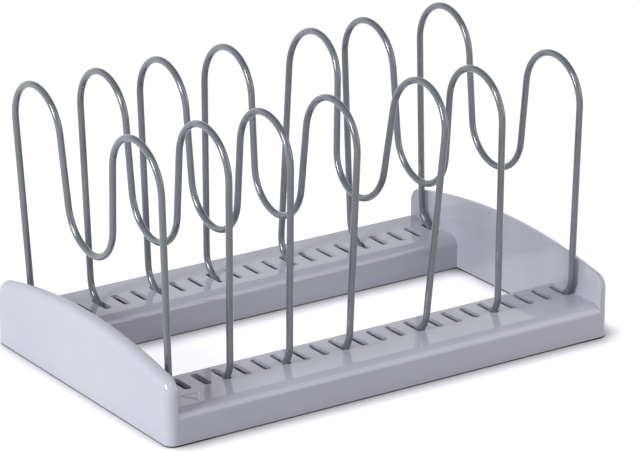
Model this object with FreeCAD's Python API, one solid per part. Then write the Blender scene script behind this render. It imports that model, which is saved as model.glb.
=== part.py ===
import FreeCAD, Part
import math
import os
from FreeCAD import Vector as V

# Pot lid rack: a moulded base with two slotted rails between two arched end
# panels, and seven bent wire dividers that stand in the slots.
# Units are mm. X runs along the rack, Y from front to rear, Z up.
# The origin is at the middle of the footprint, on the table.

# Base, overall
LENGTH = 299.2
DEPTH = 190.6
EDGE_LIFT = 1.0
RAIL_H = 19.5
WALL = 2.4

# Rails
FRONT_RAIL = 47.0
REAR_RAIL = 49.5
NOSE_ROUND = 6.0
BACK_ROUND = 2.0
INSIDE_ROUND = 0.5

# End panels
PANEL_T = 6.8
PANEL_CREST_H = 47.5
PANEL_SHOULDER_H = 36.4
PANEL_CORNER = 9.5
OUTER_ROUND = 6.0
INNER_ROUND = 0.6
PANEL_CAP = 3.6
PANEL_SKIN = 2.2

# Slots, one row in each rail, evenly spread between the two end margins
SLOTS = 22
LEFT_MARGIN = 15.4
RIGHT_MARGIN = 10.8
SLOT_W = 5.0
SLOT_LEN = 17.4
SLOT_ROUND = 2.2

# Stiffening ribs under the slotted plates, one after every few slots
RIB_T = 1.6
RIB_H = 7.0
RIB_STEP = 3
RIB_BITE = 0.2

# Push-in rubber feet in tube bosses near the corners
BOSS_D = 12.0
BOSS_BORE = 8.4
BOSS_FROM_END = 14.0
BOSS_FROM_FACE = 12.0
FOOT_HEAD_D = 12.0
FOOT_EDGE_ROUND = 0.4
FOOT_STEM_LEN = 6.0
FOOT_TIP_CHAMFER = 0.6
FOOT_FIT = 0.1

# Dividers: depths are taken from the nearer face of the base, heights from the
# top of the slotted plates, tilts in degrees from upright. They are to the middle
# of the wire. The arc of the dip gets the radius that fits between the strokes.
WIRE_D = 4.0
LOBE_R = 25.4
FRONT_LOBE_IN = 45.3
FRONT_LOBE_UP = 115.8
REAR_LOBE_IN = 38.2
REAR_LOBE_UP = 118.0
STROKE_TILT = 5.9
DIP_FLOOR_UP = 58.4
FRONT_KNEE_IN = 23.4
FRONT_KNEE_UP = 4.0
REAR_KNEE_IN = 17.1
REAR_KNEE_UP = 6.5
CRANK_TILT = 50.0
CRANK_BEND = 14.0
TAIL_BELOW = 5.4

# Clearances of the wire in its slots: at the side it leans to, and at the outer
# end of the front and rear slots
SIDE_FIT = 0.05
FRONT_END_FIT = 0.3
REAR_END_FIT = 2.7

# Slot of each divider, counted from the left, and its lean to the right in
# degrees: the wires are sprung by hand into slots a little wider than they are.
DIVIDERS = ((0, -2.5), (3, -0.9), (6, -0.6), (9, 1.3), (13, 4.8), (17, -0.8), (21, 0.2))

X_LEFT = -LENGTH / 2.0
Y_FRONT = -DEPTH / 2.0
Y_REAR = DEPTH / 2.0
PITCH = (LENGTH - LEFT_MARGIN - RIGHT_MARGIN) / (SLOTS - 1)
RAIL_TOP = EDGE_LIFT + RAIL_H
PLATE_LOW = RAIL_TOP - WALL


def slot_x(index):
    # centre of a slot, counted from 0 at the left
    return X_LEFT + LEFT_MARGIN + index * PITCH


def foot_depth(knee_in, knee_up):
    # how far in from its face the slanting foot of a wire crosses the top of the plate
    return knee_in + knee_up * math.tan(math.radians(CRANK_TILT))


def slot_start(knee_in, knee_up, end_fit):
    # how far in from its face a slot begins, clear of the slanting wire by the end fit
    half_cut = WIRE_D / 2.0 / math.cos(math.radians(CRANK_TILT))
    return foot_depth(knee_in, knee_up) - half_cut - end_fit


FRONT_SLOT_IN = slot_start(FRONT_KNEE_IN, FRONT_KNEE_UP, FRONT_END_FIT)
REAR_SLOT_IN = slot_start(REAR_KNEE_IN, REAR_KNEE_UP, REAR_END_FIT)


def prism_x(outline, x0, x1):
    # a closed outline in the YZ plane, pulled along X from x0 to x1
    face = Part.Face(outline)
    face.translate(V(x0, 0, 0))
    return face.extrude(V(x1 - x0, 0, 0))


def rail_outline(y_front, y_back, z_low, z_top, nose, back):
    # rail section: the top front edge has the large nose round, the back one a small round
    turn = math.sqrt(0.5)
    a = V(0, y_front, z_low)
    b = V(0, y_front, z_top - nose)
    b_mid = V(0, y_front + nose * (1 - turn), z_top - nose * (1 - turn))
    c = V(0, y_front + nose, z_top)
    d = V(0, y_back - back, z_top)
    d_mid = V(0, y_back - back * (1 - turn), z_top - back * (1 - turn))
    e = V(0, y_back, z_top - back)
    f = V(0, y_back, z_low)
    edges = [
        Part.LineSegment(a, b).toShape(),
        Part.Arc(b, b_mid, c).toShape(),
        Part.LineSegment(c, d).toShape(),
        Part.Arc(d, d_mid, e).toShape(),
        Part.LineSegment(e, f).toShape(),
        Part.LineSegment(f, a).toShape(),
    ]
    return Part.Wire(edges)


def panel_solid(inset, z_low, x0, x1, corner):
    # end panel: an upright slab whose top is one shallow arc, with rounded shoulders
    y0 = Y_FRONT + inset
    y1 = Y_REAR - inset
    crest = EDGE_LIFT + PANEL_CREST_H - inset
    shoulder = EDGE_LIFT + PANEL_SHOULDER_H - inset
    a = V(0, y0, z_low)
    b = V(0, y0, shoulder)
    top = V(0, 0, crest)
    c = V(0, y1, shoulder)
    d = V(0, y1, z_low)
    edges = [
        Part.LineSegment(a, b).toShape(),
        Part.Arc(b, top, c).toShape(),
        Part.LineSegment(c, d).toShape(),
        Part.LineSegment(d, a).toShape(),
    ]
    slab = prism_x(Part.Wire(edges), x0, x1)
    shoulders = []
    for edge in slab.Edges:
        middle = edge.CenterOfMass
        across = edge.BoundBox.XLength > abs(x1 - x0) - 0.01
        if across and middle.z > z_low + 1.0:
            shoulders.append(edge)
    return slab.makeFillet(corner, shoulders)


def outline_edges(shape, x_plane, z_low):
    # edges of a slab that lie in one end face, apart from the bottom one
    found = []
    for edge in shape.Edges:
        box = edge.BoundBox
        in_plane = abs(box.XMin - x_plane) < 0.001 and abs(box.XMax - x_plane) < 0.001
        if in_plane and box.ZMax > z_low + 0.01:
            found.append(edge)
    return found


def end_panel(side):
    # side is -1 for the left panel and 1 for the right one
    x_out = side * LENGTH / 2.0
    x_in = x_out - side * PANEL_T
    slab = panel_solid(0.0, EDGE_LIFT, min(x_out, x_in), max(x_out, x_in), PANEL_CORNER)
    slab = slab.makeFillet(OUTER_ROUND, outline_edges(slab, x_out, EDGE_LIFT))
    return slab.makeFillet(INNER_ROUND, outline_edges(slab, x_in, EDGE_LIFT))


def panel_hollow(side):
    # the panel is moulded as a thin hollow wall, open underneath
    x_out = side * (LENGTH / 2.0 - PANEL_SKIN)
    x_in = side * (LENGTH / 2.0 - PANEL_T + PANEL_SKIN)
    return panel_solid(PANEL_CAP, 0.0, min(x_out, x_in), max(x_out, x_in), PANEL_CORNER - PANEL_CAP)


def rail(y_front, y_back):
    # the rail runs between the panels and is let into them, past their small inner rounds
    reach = LENGTH / 2.0 - OUTER_ROUND
    outline = rail_outline(y_front, y_back, EDGE_LIFT, RAIL_TOP, NOSE_ROUND, BACK_ROUND)
    return prism_x(outline, -reach, reach)


def rail_hollow(y_front, y_back, y_outer):
    # inside of the rail: a channel of even wall, open underneath. The rounds of its outer
    # corners follow those of the base, and run on round the whole of each end
    reach = LENGTH / 2.0 - WALL
    outline = rail_outline(
        y_front + WALL, y_back - WALL, 0.0, PLATE_LOW, NOSE_ROUND - WALL, INSIDE_ROUND)
    block = prism_x(outline, -reach, reach)
    corners = []
    for edge in block.Edges:
        box = edge.BoundBox
        upright = box.XLength < 0.001 and box.YLength < 0.001
        if upright and abs(abs(box.YMin - y_outer) - WALL) < 0.01:
            corners.append(edge)
    return block.makeFillet(OUTER_ROUND - WALL, corners)


def slot_cutter(x, y_low):
    # one slot with rounded corners, cut down through the plate
    block = Part.makeBox(SLOT_W, SLOT_LEN, 3.0 * WALL, V(x - SLOT_W / 2.0, y_low, PLATE_LOW - WALL))
    uprights = [e for e in block.Edges if e.BoundBox.ZLength > 2.9 * WALL]
    return block.makeFillet(SLOT_ROUND, uprights)


def slot_cutters():
    # both rows: the front one starts near the front face, the rear one ends near the rear face
    made = []
    for index in range(SLOTS):
        x = slot_x(index)
        made.append(slot_cutter(x, Y_FRONT + FRONT_SLOT_IN))
        made.append(slot_cutter(x, Y_REAR - REAR_SLOT_IN - SLOT_LEN))
    return made


def ribs(y_front, y_back):
    # cross ribs between the slots, from wall to wall under the plate
    made = []
    for index in range(1, SLOTS - 1, RIB_STEP):
        x = slot_x(index) + PITCH / 2.0
        made.append(Part.makeBox(
            RIB_T,
            y_back - y_front - 2.0 * WALL + 2.0 * RIB_BITE,
            RIB_H + RIB_BITE,
            V(x - RIB_T / 2.0, y_front + WALL - RIB_BITE, PLATE_LOW - RIB_H),
        ))
    return made


def foot_places():
    # middles of the four feet, named by corner
    x = LENGTH / 2.0 - BOSS_FROM_END
    y = DEPTH / 2.0 - BOSS_FROM_FACE
    return {
        "front_left": (-x, -y),
        "front_right": (x, -y),
        "rear_left": (-x, y),
        "rear_right": (x, y),
    }


def bosses():
    # tubes that hang from the plate down to the lower edge
    made = []
    tall = RAIL_TOP - WALL / 2.0 - EDGE_LIFT
    for x, y in foot_places().values():
        made.append(Part.makeCylinder(BOSS_D / 2.0, tall, V(x, y, EDGE_LIFT)))
    return made


def bores():
    # blind holes in the tubes, as deep as the underside of the plate
    return [Part.makeCylinder(BOSS_BORE / 2.0, PLATE_LOW, V(x, y, 0)) for x, y in foot_places().values()]


def make_base():
    front = (Y_FRONT, Y_FRONT + FRONT_RAIL)
    rear = (Y_REAR - REAR_RAIL, Y_REAR)
    body = end_panel(-1)
    body = body.fuse([end_panel(1), rail(front[0], front[1]), rail(rear[0], rear[1])])
    body = body.removeSplitter()
    hollow = panel_hollow(-1).fuse([
        panel_hollow(1),
        rail_hollow(front[0], front[1], Y_FRONT),
        rail_hollow(rear[0], rear[1], Y_REAR),
    ])
    body = body.cut(hollow)
    body = body.fuse(ribs(front[0], front[1]) + ribs(rear[0], rear[1]) + bosses())
    body = body.cut(bores() + slot_cutters())
    return body.removeSplitter().Solids[0]


def make_foot(x, y):
    # rubber foot, turned about its own axis: a flat head under the tube and a stem up its bore
    head = FOOT_HEAD_D / 2.0
    stem = BOSS_BORE / 2.0 - FOOT_FIT
    turn = FOOT_EDGE_ROUND * (1 - math.sqrt(0.5))
    top = EDGE_LIFT + FOOT_STEM_LEN
    a = V(0, 0, 0)
    b = V(head - FOOT_EDGE_ROUND, 0, 0)
    b_mid = V(head - turn, 0, turn)
    c = V(head, 0, FOOT_EDGE_ROUND)
    d = V(head, 0, EDGE_LIFT)
    e = V(stem, 0, EDGE_LIFT)
    f = V(stem, 0, top - FOOT_TIP_CHAMFER)
    g = V(stem - FOOT_TIP_CHAMFER, 0, top)
    h = V(0, 0, top)
    edges = [
        Part.LineSegment(a, b).toShape(),
        Part.Arc(b, b_mid, c).toShape(),
        Part.LineSegment(c, d).toShape(),
        Part.LineSegment(d, e).toShape(),
        Part.LineSegment(e, f).toShape(),
        Part.LineSegment(f, g).toShape(),
        Part.LineSegment(g, h).toShape(),
        Part.LineSegment(h, a).toShape(),
    ]
    foot = Part.Face(Part.Wire(edges)).revolve(V(0, 0, 0), V(0, 0, 1), 360)
    foot.translate(V(x, y, 0))
    return foot


def leg_top(lobe, knee, outward):
    # where a straight leg from the knee touches the outer side of the lobe
    y = lobe[0] - knee[0]
    z = lobe[1] - knee[1]
    turn = math.atan2(z, y) - outward * math.asin(LOBE_R / math.hypot(y, z))
    reach = math.sqrt(y * y + z * z - LOBE_R * LOBE_R)
    return knee[0] + reach * math.cos(turn), knee[1] + reach * math.sin(turn)


def leg_and_foot(lobe, knee, outward):
    # straight leg tangent to the lobe, then a rounded crank and a straight slanting foot
    top = leg_top(lobe, knee, outward)
    leg = (knee[0] - top[0], knee[1] - top[1])
    leg_len = math.hypot(leg[0], leg[1])
    leg = (leg[0] / leg_len, leg[1] / leg_len)
    tilt = math.radians(CRANK_TILT)
    foot = (-outward * math.sin(tilt), -math.cos(tilt))
    bend = math.acos(leg[0] * foot[0] + leg[1] * foot[1])
    cut = CRANK_BEND * math.tan(bend / 2.0)
    start = (knee[0] - cut * leg[0], knee[1] - cut * leg[1])
    end = (knee[0] + cut * foot[0], knee[1] + cut * foot[1])
    half = (foot[0] - leg[0], foot[1] - leg[1])
    half_len = math.hypot(half[0], half[1])
    inset = CRANK_BEND / math.cos(bend / 2.0) - CRANK_BEND
    middle = (knee[0] + inset * half[0] / half_len, knee[1] + inset * half[1] / half_len)
    tip_z = PLATE_LOW - TAIL_BELOW
    down = (knee[1] - tip_z) / math.cos(tilt)
    tip = (knee[0] + down * foot[0], tip_z)
    return top, start, middle, end, tip


def dip_arc(front_lobe, rear_lobe):
    # middle and radius of the arc that touches both strokes and the floor of the dip
    tilt = math.radians(STROKE_TILT)
    floor_z = RAIL_TOP + DIP_FLOOR_UP
    half_span = (rear_lobe[0] - front_lobe[0]) / 2.0
    mean_z = (rear_lobe[1] + front_lobe[1]) / 2.0
    room = math.cos(tilt) * half_span + math.sin(tilt) * (floor_z - mean_z) - LOBE_R
    radius = room / (1.0 - math.sin(tilt))
    shift = math.tan(tilt) * (rear_lobe[1] - front_lobe[1]) / 2.0
    return (front_lobe[0] + half_span - shift, floor_z + radius), radius


def divider_path():
    # one bent wire: foot, leg, rear lobe, dip, front lobe, leg, foot
    front_lobe = (Y_FRONT + FRONT_LOBE_IN, RAIL_TOP + FRONT_LOBE_UP)
    rear_lobe = (Y_REAR - REAR_LOBE_IN, RAIL_TOP + REAR_LOBE_UP)
    front_knee = (Y_FRONT + FRONT_KNEE_IN, RAIL_TOP + FRONT_KNEE_UP)
    rear_knee = (Y_REAR - REAR_KNEE_IN, RAIL_TOP + REAR_KNEE_UP)
    r_top, r_start, r_mid, r_end, r_tip = leg_and_foot(rear_lobe, rear_knee, 1.0)
    f_top, f_start, f_mid, f_end, f_tip = leg_and_foot(front_lobe, front_knee, -1.0)
    dip, dip_r = dip_arc(front_lobe, rear_lobe)
    across = math.cos(math.radians(STROKE_TILT))
    up = math.sin(math.radians(STROKE_TILT))
    f_in = (front_lobe[0] + LOBE_R * across, front_lobe[1] + LOBE_R * up)
    d_front = (dip[0] - dip_r * across, dip[1] - dip_r * up)
    d_rear = (dip[0] + dip_r * across, dip[1] - dip_r * up)
    r_in = (rear_lobe[0] - LOBE_R * across, rear_lobe[1] + LOBE_R * up)
    r_crown = (rear_lobe[0], rear_lobe[1] + LOBE_R)
    f_crown = (front_lobe[0], front_lobe[1] + LOBE_R)
    d_floor = (dip[0], dip[1] - dip_r)
    stretches = [
        (r_tip, r_end),
        (r_end, r_mid, r_start),
        (r_start, r_top),
        (r_top, r_crown, r_in),
        (r_in, d_rear),
        (d_rear, d_floor, d_front),
        (d_front, f_in),
        (f_in, f_crown, f_top),
        (f_top, f_start),
        (f_start, f_mid, f_end),
        (f_end, f_tip),
    ]
    edges = []
    for stretch in stretches:
        points = [V(0, y, z) for y, z in stretch]
        curve = Part.LineSegment(*points) if len(points) == 2 else Part.Arc(*points)
        edges.append(curve.toShape())
    return Part.Wire(edges), V(0, r_tip[0], r_tip[1])


def make_divider(index, lean):
    # the round wire is swept along its path, leaned about the foot line, and set against
    # the side of its slots that it leans to
    path, tip = divider_path()
    tilt = math.radians(CRANK_TILT)
    heading = V(0, math.sin(tilt), math.cos(tilt))
    ring = Part.Wire(Part.Circle(tip, heading, WIRE_D / 2.0).toShape())
    wire = path.makePipeShell([ring], True, False)
    side = 1.0 if lean > 0 else -1.0
    wire.rotate(V(0, 0, RAIL_TOP), V(0, 1, 0), lean)
    wire.translate(V(slot_x(index) + side * ((SLOT_W - WIRE_D) / 2.0 - SIDE_FIT), 0, 0))
    return wire


os.makedirs("parts", exist_ok=True)
make_base().exportStep("parts/base.step")
for corner, place in foot_places().items():
    make_foot(*place).exportStep("parts/foot_%s.step" % corner)
for number, (slot, lean_deg) in enumerate(DIVIDERS, 1):
    make_divider(slot, lean_deg).exportStep("parts/divider_%d.step" % number)
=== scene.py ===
import math

import bmesh
import bpy
from mathutils import Matrix, Vector


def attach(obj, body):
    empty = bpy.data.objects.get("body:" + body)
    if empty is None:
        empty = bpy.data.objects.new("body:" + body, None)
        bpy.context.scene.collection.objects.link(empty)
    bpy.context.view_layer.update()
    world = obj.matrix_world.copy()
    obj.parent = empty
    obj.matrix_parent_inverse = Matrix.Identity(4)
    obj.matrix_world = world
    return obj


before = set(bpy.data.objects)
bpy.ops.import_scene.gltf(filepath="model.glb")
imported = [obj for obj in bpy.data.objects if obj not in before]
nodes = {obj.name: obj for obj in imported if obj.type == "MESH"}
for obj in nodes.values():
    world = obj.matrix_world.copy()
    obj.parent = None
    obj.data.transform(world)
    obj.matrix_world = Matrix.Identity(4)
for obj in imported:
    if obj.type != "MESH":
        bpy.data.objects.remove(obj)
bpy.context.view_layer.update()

# %% [markdown]
# # A pot lid rack in moulded plastic and coated wire
# The frame holds the rack at its true size: a base, seven dividers and four
# rubber feet. Each cell here gives one of them its finish, or adds a small
# mark that the moulding carries. All lengths are metres.
# The names of the pieces from the frame are printed before anything is added.

# %% Pieces from the frame
print("pieces from the frame:", sorted(nodes))


# %% [markdown]
# ## Colours
# Colours are written as sRGB hex, as a paint chart has them. Shaders reckon in
# linear light, where half the number is half the light, so one function turns
# the hex to linear values by the sRGB standard's own formula.

# %% Colours
def srgb(text):
    """The linear colour of an sRGB hex text such as "a4a8b2"."""
    values = []
    for i in (0, 2, 4):
        c = int(text[i:i + 2], 16) / 255
        values.append(c / 12.92 if c <= 0.04045 else ((c + 0.055) / 1.055) ** 2.4)
    return (*values, 1.0)


print("hex 808080 gives off", round(srgb("808080")[0], 3), "of the light of white")


# %% [markdown]
# ## Materials
# A finish is a small tree of nodes. Nodes can be added and linked one by one,
# but that takes three or four lines for each. Here one function adds a node,
# sets its inputs and links it, so each finish reads as a short recipe. Another
# starts a material, and a third puts it on pieces of the frame.

# %% Nodes and materials
def add(tree, kind, settings=None, **links):
    """Adds a shader node. Values are set on its inputs, and sockets are linked to them.

    An input goes by its name, with _ for a space, or by its number, as in i0.
    """
    node = tree.nodes.new(kind)
    for name, value in (settings or {}).items():
        setattr(node, name, value)
    for name, value in links.items():
        numbered = name[0] == "i" and name[1:].isdigit()
        socket = node.inputs[int(name[1:]) if numbered else name.replace("_", " ")]
        if isinstance(value, bpy.types.NodeSocket):
            tree.links.new(value, socket)
        else:
            socket.default_value = value
    return node


def new_material(name):
    """An empty node material: its tree, its main shader and its object coordinates."""
    material = bpy.data.materials.new(name)
    material.use_nodes = True
    tree = material.node_tree
    shader = tree.nodes["Principled BSDF"]
    place = add(tree, "ShaderNodeTexCoord").outputs["Object"]
    return material, tree, shader, place


def wear(material, *names):
    """Gives named frame nodes one material."""
    for name in names:
        mesh = nodes[name].data
        mesh.materials.clear()
        mesh.materials.append(material)


print(len(nodes), "pieces wait for a finish")

# %% [markdown]
# ## Patterns of a real size
# No real surface is the same all over. Its colour and gloss drift in soft
# patches, and each patch has a size in millimetres. A painted picture could
# draw them, but it has edges, and noise has none. A Noise Texture has patches
# about 1 / Scale across. Its values stay mostly between 0.3 and 0.7, so a Map
# Range node stretches them to the range that a recipe asks for.

# %% Patches and bumps
MM = 0.001
NOISE_LOW, NOISE_HIGH = 0.3, 0.7


def patches(tree, place, across, detail, low=0.0, high=1.0):
    """Values that drift from low to high in patches about so many metres across."""
    noise = add(tree, "ShaderNodeTexNoise", Vector=place, Scale=1.0 / across, Detail=detail)
    stretched = add(tree, "ShaderNodeMapRange", Value=noise.outputs["Fac"],
                    From_Min=NOISE_LOW, From_Max=NOISE_HIGH, To_Min=low, To_Max=high)
    return stretched.outputs["Result"]


def mottled(tree, place, across, detail, first, second):
    """A colour that drifts between two tones in such patches."""
    share = patches(tree, place, across, detail)
    # A Mix node has inputs for each kind of value. Its colours are numbers 6 and 7.
    mix = add(tree, "ShaderNodeMix", {"data_type": "RGBA"}, i0=share, i6=first, i7=second)
    return mix.outputs[2]


def bumpy(tree, place, across, detail, strength, tall, **under):
    """A normal that tilts over bumps about so many metres across and so many tall."""
    noise = add(tree, "ShaderNodeTexNoise", Vector=place, Scale=1.0 / across, Detail=detail)
    bump = add(tree, "ShaderNodeBump", Height=noise.outputs["Fac"],
               Strength=strength, Distance=tall, **under)
    return bump.outputs["Normal"]


print("patches of 60 mm need a noise scale of", round(1.0 / (60 * MM), 1))

# %% [markdown]
# ## Glossy moulded plastic for the base
# The base is one injection moulding in light blue-grey, most likely ABS. A
# polished mould leaves a nearly mirror-smooth skin, so the roughness is only
# about 0.05, and the wires show in it. A flat colour and one roughness would
# look like paint on glass, so three real faults of a moulding are drawn. The
# pigment is not stirred quite evenly, which changes the colour a little over
# 60 mm. Flow marks dull the gloss here and there, over 20 mm. The skin also
# sinks by some hundredths of a millimetre over 30 mm, which bends reflections
# softly. A grain of 0.4 mm, coarser than the real one so that it shows, takes
# the last sharpness off them.

# %% Base plastic
plastic, tree, shader, place = new_material("glossy_moulded_abs")
pigment = mottled(tree, place, across=60 * MM, detail=2.0,
                  first=srgb("bcbbca"), second=srgb("c0bfcd"))
tree.links.new(pigment, shader.inputs["Base Color"])
flow = patches(tree, place, across=20 * MM, detail=3.0, low=0.04, high=0.065)
tree.links.new(flow, shader.inputs["Roughness"])
shader.inputs["IOR"].default_value = 1.5
sink = bumpy(tree, place, across=30 * MM, detail=1.0, strength=0.3, tall=0.6 * MM)
skin = bumpy(tree, place, across=0.4 * MM, detail=2.0, strength=0.05, tall=0.02 * MM,
             Normal=sink)
tree.links.new(skin, shader.inputs["Normal"])
wear(plastic, "base")
print("base finish:", plastic.name)

# %% [markdown]
# ## An arrow on the front rail
# The mould has a small raised arrow at the left end of the front rail: a plain
# triangle in outline that points to the front. It could be drawn with bump, but
# a ridge that stands up catches light from every side, so it is real geometry.
# The ridge is like a low roof, with two slopes and no flat on top, and it is
# sunk a little in the rail, so that no gap shows beneath it.

# %% Sizes of the arrow
RAIL_TOP = 20.5 * MM
ARROW_AT = Vector((-124.9 * MM, -80.1 * MM, RAIL_TOP))
ARROW_SIDE = 13.5 * MM
SLOPE_WIDE = 1.0 * MM
RIDGE_TALL = 0.36 * MM
RIDGE_SUNK = 0.3 * MM
print("arrow:", round(ARROW_SIDE / MM, 1), "mm a side,", round(RIDGE_TALL / MM, 2), "mm tall")

# %% [markdown]
# A circle of three segments is the triangle. Two insets, one inside the other,
# give the two slopes of the ridge: the first lifts the line between them, and
# the second goes down again. The face left in the middle is deleted, and
# solidify closes the ridge underneath.

# %% Ridge of the arrow
bm = bmesh.new()
bmesh.ops.create_circle(bm, cap_ends=True, radius=ARROW_SIDE / math.sqrt(3), segments=3)
bm.faces.ensure_lookup_table()
middle = bm.faces[0]
for step in (RIDGE_TALL, -RIDGE_TALL):
    bmesh.ops.inset_individual(bm, faces=[middle], thickness=SLOPE_WIDE, use_even_offset=True)
    bmesh.ops.translate(bm, vec=(0, 0, step), verts=middle.verts[:])
bmesh.ops.delete(bm, geom=[middle], context="FACES")
bmesh.ops.solidify(bm, geom=bm.faces[:], thickness=RIDGE_SUNK)
bmesh.ops.recalc_face_normals(bm, faces=bm.faces[:])
print("ridge:", len(bm.faces), "faces, all closed:", all(edge.is_manifold for edge in bm.edges))

# %% [markdown]
# The triangle's first corner points to the rear, so half a turn points it to
# the front. Its place goes into the mesh, and the object stays at the origin,
# where the pattern of the plastic runs on from the rail without a break.

# %% Place of the arrow
half_turn = Matrix.Rotation(math.pi, 3, "Z")
bmesh.ops.rotate(bm, cent=(0, 0, 0), matrix=half_turn, verts=bm.verts[:])
lift = RIDGE_TALL - max(vert.co.z for vert in bm.verts)
bmesh.ops.translate(bm, vec=ARROW_AT + Vector((0, 0, lift)), verts=bm.verts[:])
arrow_mesh = bpy.data.meshes.new("front_arrow")
bm.to_mesh(arrow_mesh)
bm.free()
arrow = bpy.data.objects.new("front_arrow", arrow_mesh)
bpy.context.collection.objects.link(arrow)
arrow_mesh.materials.append(plastic)
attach(arrow, "root")
for axis in range(3):
    line = sorted(vert.co[axis] / MM for vert in arrow_mesh.vertices)
    print("arrow along", "xyz"[axis], round(line[0], 2), "to", round(line[-1], 2), "mm")

# %% [markdown]
# ## Coated wire for the dividers
# Each divider is 4 mm steel wire, bent cold and then dipped in a grey coating
# with a soft gloss, which draws one bright line down each wire. Bare steel
# would be metallic, but only the coating is seen, so it is a dark plastic with
# a thin clear coat. A dipped coat runs a little before it sets. It is thicker
# and lighter in some places, over 25 mm, and its gloss changes over 6 mm.
# Ripples of 2.5 mm break the bright line up, as on a real wire.

# %% Wire coating
coating, tree, shader, place = new_material("dipped_grey_coating")
runs = mottled(tree, place, across=25 * MM, detail=2.0,
               first=srgb("63666f"), second=srgb("6d707a"))
tree.links.new(runs, shader.inputs["Base Color"])
gloss = patches(tree, place, across=6 * MM, detail=2.0, low=0.10, high=0.16)
tree.links.new(gloss, shader.inputs["Roughness"])
shader.inputs["IOR"].default_value = 1.5
shader.inputs["Coat Weight"].default_value = 0.6
shader.inputs["Coat Roughness"].default_value = 0.06
ripples = bumpy(tree, place, across=2.5 * MM, detail=1.0, strength=0.06, tall=0.1 * MM)
tree.links.new(ripples, shader.inputs["Normal"])
wires = sorted(name for name in nodes if name.startswith("divider"))
wear(coating, *wires)
print("coating on", len(wires), "dividers")

# %% [markdown]
# ## Rubber for the feet
# The feet are pressed from soft rubber, which is matt and takes dust. One grey
# would look like card. So the dust makes patches of lighter grey about 3 mm
# across, rougher than the clean rubber between them: colour and roughness read
# the same noise. The mould was not polished, so it leaves a grain of 0.6 mm.

# %% Foot rubber
DUST_ACROSS, DUST_DETAIL = 3 * MM, 3.0

rubber, tree, shader, place = new_material("pressed_grey_rubber")
dust = mottled(tree, place, DUST_ACROSS, DUST_DETAIL, first=srgb("66696f"), second=srgb("74777d"))
tree.links.new(dust, shader.inputs["Base Color"])
matt = patches(tree, place, DUST_ACROSS, DUST_DETAIL, low=0.72, high=0.9)
tree.links.new(matt, shader.inputs["Roughness"])
shader.inputs["Specular IOR Level"].default_value = 0.4
grain = bumpy(tree, place, across=0.6 * MM, detail=3.0, strength=0.3, tall=0.1 * MM)
tree.links.new(grain, shader.inputs["Normal"])
feet = sorted(name for name in nodes if name.startswith("foot"))
wear(rubber, *feet)
print("rubber on", len(feet), "feet")

# %% [markdown]
# ## Floor
# The rack stands on a large sheet of white studio paper. The sheet is one flat
# face, and it belongs to the stage, not to the rack.

# %% Sheet of paper
FLOOR_HALF = 6.0

floor_mesh = bpy.data.meshes.new("floor")
bm = bmesh.new()
bmesh.ops.create_grid(bm, x_segments=1, y_segments=1, size=FLOOR_HALF)
bm.to_mesh(floor_mesh)
bm.free()
floor = bpy.data.objects.new("floor", floor_mesh)
bpy.context.collection.objects.link(floor)
paper, tree, shader, place = new_material("white_studio_paper")
floor_mesh.materials.append(paper)
print("floor:", 2 * FLOOR_HALF, "m square")

# %% [markdown]
# In the picture the paper is pure white, and only a narrow shade is left under
# the rack's edges, where real paper gets little light. Ambient Occlusion finds
# those places, because the rack stands in the way of its rays. It looks towards
# the left, where most of the light comes from, so the shade is faintest on that
# side.

# %% Shade near the rack
SHADE_REACH = 16 * MM
SHADE_FULL, SHADE_NONE = 0.27, 0.97
SHADE_RAYS = 12
LIGHT_SIDE = Vector((-0.35, 0.1, 0.93))

towards = add(tree, "ShaderNodeCombineXYZ", X=LIGHT_SIDE.x, Y=LIGHT_SIDE.y, Z=LIGHT_SIDE.z)
near = add(tree, "ShaderNodeAmbientOcclusion", {"samples": SHADE_RAYS},
           Distance=SHADE_REACH, Normal=towards.outputs["Vector"])
clear = add(tree, "ShaderNodeMapRange", Value=near.outputs["AO"],
            From_Min=SHADE_FULL, From_Max=SHADE_NONE).outputs["Result"]
print("the shade reaches", round(SHADE_REACH / MM), "mm")

# %% [markdown]
# More light would turn the paper white, but it would bleach the rack too. So
# the paper glows a little where it is seen, by the camera, in a mirror image or
# through a clear thing, and the shade found above dims the glow and the paper
# there. It lights the rack as plain even paper, with no glow.

# %% Glow and tone of the paper
PAPER_TONE = 0.56
PAPER_GLOW = 0.76

rays = add(tree, "ShaderNodeLightPath").outputs
seen = rays["Is Camera Ray"]
for kind in ("Is Glossy Ray", "Is Transmission Ray"):
    either = add(tree, "ShaderNodeMath", {"operation": "MAXIMUM"}, i0=seen, i1=rays[kind])
    seen = either.outputs["Value"]
shaded = add(tree, "ShaderNodeMath", {"operation": "MULTIPLY"}, i0=clear, i1=PAPER_TONE)
tone = add(tree, "ShaderNodeMix", {"data_type": "FLOAT"}, Factor=seen,
           A=PAPER_TONE, B=shaded.outputs["Value"])
tree.links.new(tone.outputs["Result"], shader.inputs["Base Color"])
lit = add(tree, "ShaderNodeMath", {"operation": "MULTIPLY"}, i0=seen, i1=clear)
glow = add(tree, "ShaderNodeMath", {"operation": "MULTIPLY"},
           i0=lit.outputs["Value"], i1=PAPER_GLOW)
tree.links.new(glow.outputs["Value"], shader.inputs["Emission Strength"])
# The glow is a little blue, so the painted shade near the rack, where the glow is dimmed, looks
# cool.
shader.inputs["Emission Color"].default_value = srgb("f8f6ff")
fibre = patches(tree, place, across=1.5 * MM, detail=3.0, low=0.85, high=0.95)
tree.links.new(fibre, shader.inputs["Roughness"])
shader.inputs["Specular IOR Level"].default_value = 0.0
print("paper:", PAPER_TONE, "of the light thrown back,", PAPER_GLOW, "of white in its glow")

# %% [markdown]
# ## Surround
# A pale surround fills the shadows evenly. Camera rays, and rays through clear
# things, find it pure white, which is the background. Glossy rays find it
# bright near the horizon and dark overhead. The flat rail tops mirror the
# horizon, and the rounded nose of each rail mirrors the dark part, which draws
# the dark line along it. Black cards over the rack could do the same, but they
# would also take light from it.

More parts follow.
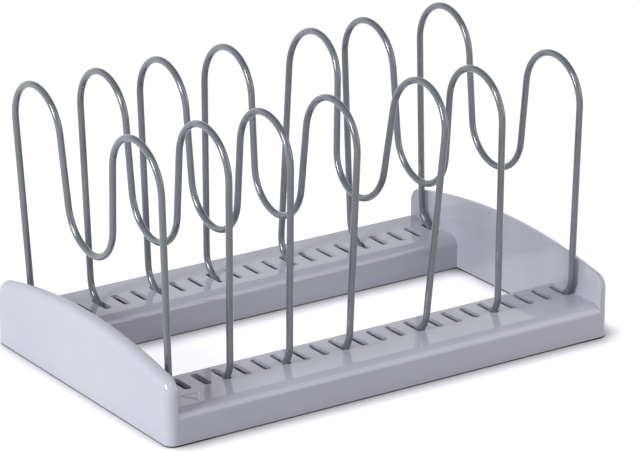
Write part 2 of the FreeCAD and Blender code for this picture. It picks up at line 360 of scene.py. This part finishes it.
# %% Pale surround
FILL_LEVEL = 0.31
OVERHEAD_LEVEL = 0.12
BRIGHT_UP_TO, DARK_FROM = 0.36, 0.62

world = bpy.data.worlds.new("studio")
bpy.context.scene.world = world
world.use_nodes = True
tree = world.node_tree
back = tree.nodes["Background"]
where = add(tree, "ShaderNodeTexCoord").outputs["Generated"]
height = add(tree, "ShaderNodeSeparateXYZ", Vector=where).outputs["Z"]
mirrored = add(tree, "ShaderNodeMapRange", Value=height, From_Min=BRIGHT_UP_TO,
               From_Max=DARK_FROM, To_Min=1.0, To_Max=OVERHEAD_LEVEL)
rays = add(tree, "ShaderNodeLightPath").outputs
unseen = add(tree, "ShaderNodeMix", {"data_type": "FLOAT"}, Factor=rays["Is Glossy Ray"],
             A=FILL_LEVEL, B=mirrored.outputs["Result"])
straight = add(tree, "ShaderNodeMath", {"operation": "MAXIMUM"},
               i0=rays["Is Camera Ray"], i1=rays["Is Transmission Ray"])
level = add(tree, "ShaderNodeMix", {"data_type": "FLOAT"}, Factor=straight.outputs["Value"],
            A=unseen.outputs["Result"], B=1.0)
tree.links.new(level.outputs["Result"], back.inputs["Strength"])
back.inputs["Color"].default_value = srgb("ffffff")
print("surround:", FILL_LEVEL, "of white")

# %% [markdown]
# ## Soft boxes
# Soft boxes shape the rack, as in a product studio. Bare lamps would draw hard
# shadows and small hot spots in the gloss, and large ones don't. The key stands
# low at the left and lights the end panels, a little cooler than the rest. A
# large box above the camera lights the rail tops. A small near one at the right
# fills the front face. The last lights nothing, and is only mirrored: it is the
# bright band along the front rail's nose.

# %% Soft boxes
AIM_HEIGHT = 50 * MM
COOL_WHITE = (0.95, 1.0, 0.96)


def soft_box(name, azimuth, elevation, distance, width, height, watts):
    """A rectangular area light that looks at the rack. Azimuth 0 is straight in front."""
    light = bpy.data.lights.new(name, "AREA")
    light.shape = "RECTANGLE"
    light.size = width
    light.size_y = height
    light.energy = watts
    lamp = bpy.data.objects.new(name, light)
    bpy.context.collection.objects.link(lamp)
    turn, rise = math.radians(azimuth), math.radians(elevation)
    at = Vector((math.sin(turn) * math.cos(rise), -math.cos(turn) * math.cos(rise), math.sin(rise)))
    lamp.location = at * distance + Vector((0, 0, AIM_HEIGHT))
    lamp.rotation_euler = at.to_track_quat("Z", "Y").to_euler()
    print(name, "at", tuple(round(v, 2) for v in lamp.location), "m,", watts, "W")
    return lamp


key = soft_box("left_box", azimuth=-85, elevation=21, distance=2.4,
               width=0.72, height=0.72, watts=45.5)
key.data.color = COOL_WHITE
soft_box("camera_side_box", azimuth=-35, elevation=52, distance=2.5,
         width=1.0, height=1.0, watts=8.7)
fill = soft_box("right_fill", azimuth=55, elevation=25, distance=0.7,
                width=0.4, height=0.4, watts=1.0)
fill.visible_glossy = False
band = soft_box("front_right_box", azimuth=37, elevation=26, distance=2.2,
                width=1.6, height=1.9, watts=20.0)
band.visible_diffuse = False

# %% [markdown]
# ## Camera
# The place and lens come from measuring the photo: its parallel edges and the
# even row of slots fix where the picture was taken from. A camera set by eye
# would match the edges only roughly. The lens and the sensor are given in
# millimetres, as on a real camera, and the tilt and the turn in degrees.

# %% Camera
LENS = 201.5
SENSOR_WIDE = 36.0
CAMERA_AT = (-1.0664, -1.6123, 0.7625)
CAMERA_TILT, CAMERA_TURN = 70.28, -33.77

lens = bpy.data.cameras.new("camera")
lens.sensor_width = SENSOR_WIDE
lens.lens = LENS
camera = bpy.data.objects.new("camera", lens)
bpy.context.collection.objects.link(camera)
camera.location = CAMERA_AT
camera.rotation_euler = (math.radians(CAMERA_TILT), 0.0, math.radians(CAMERA_TURN))
scene = bpy.context.scene
scene.camera = camera
scene.view_settings.view_transform = "Standard"
print("camera", round(camera.location.length, 2), "m from the origin")
